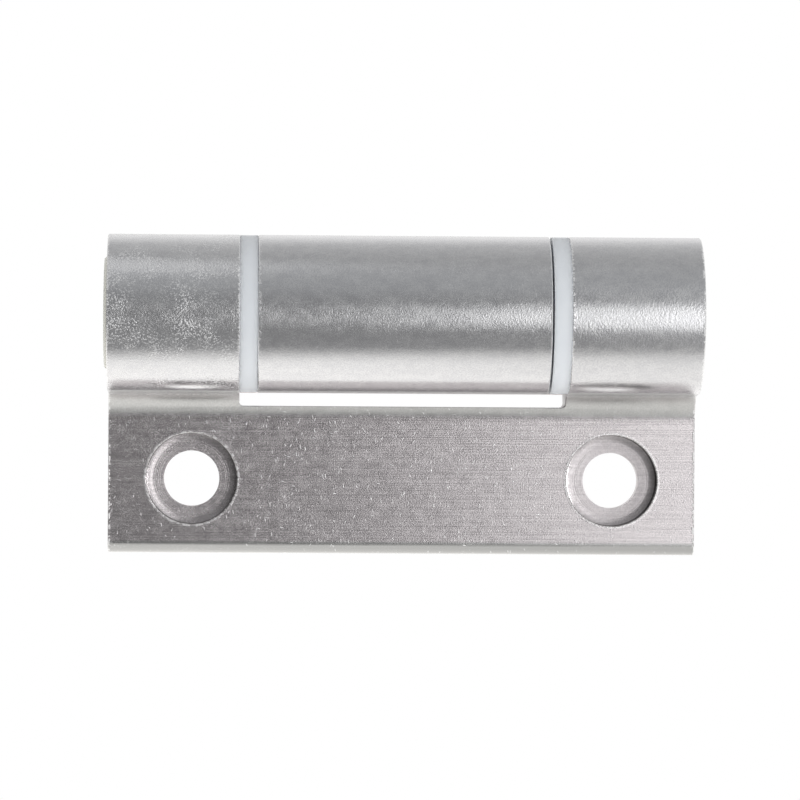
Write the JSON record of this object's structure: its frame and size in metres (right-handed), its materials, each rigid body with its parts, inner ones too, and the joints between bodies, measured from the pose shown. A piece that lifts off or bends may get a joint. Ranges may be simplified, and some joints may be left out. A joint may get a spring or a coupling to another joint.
{
  "type": "spring hinge",
  "caption": "Self-closing butt hinge of extruded aluminium leaves, with a torsion spring and pin hidden in its barrel.",
  "frame": {"origin": "midway between the outer leaf's two screw holes, on the back face that lies against what it is screwed to", "axes": "+X along the hinge axis, +Y out of the outer leaf's back face, +Z from the outer leaf's free edge towards the barrel"},
  "size_m": [0.0603, 0.0324, 0.0324],
  "materials": {
    "anodised_aluminium": "satin anodised, with fine extrusion lines",
    "white_nylon": "smooth moulded",
    "cream_plastic": "smooth moulded",
    "pin_steel": "ground",
    "spring_steel": "oiled",
    "plug_zinc": "cast and zinc plated"
  },
  "bodies": {
    "outer": {"outer_leaf": "anodised_aluminium", "left_washer": "white_nylon", "right_washer": "white_nylon", "hinge_pin": "pin_steel", "torsion_spring": "spring_steel", "left_plug": "plug_zinc", "right_plug": "plug_zinc", "left_end_cap": "cream_plastic", "right_end_cap": "cream_plastic"},
    "inner": {"inner_leaf": "anodised_aluminium", "left_bush": "white_nylon", "right_bush": "white_nylon"}
  },
  "joints": [
    {"name": "leaf_swing", "type": "hinge", "parent": "outer", "child": "inner", "pos_m": [0, -0.008, 0.0168], "axis": [1, 0, 0], "range_deg": [-5, 285], "stiffness_Nm_per_rad": 0.23, "deforming": ["torsion_spring"]}
  ]
}
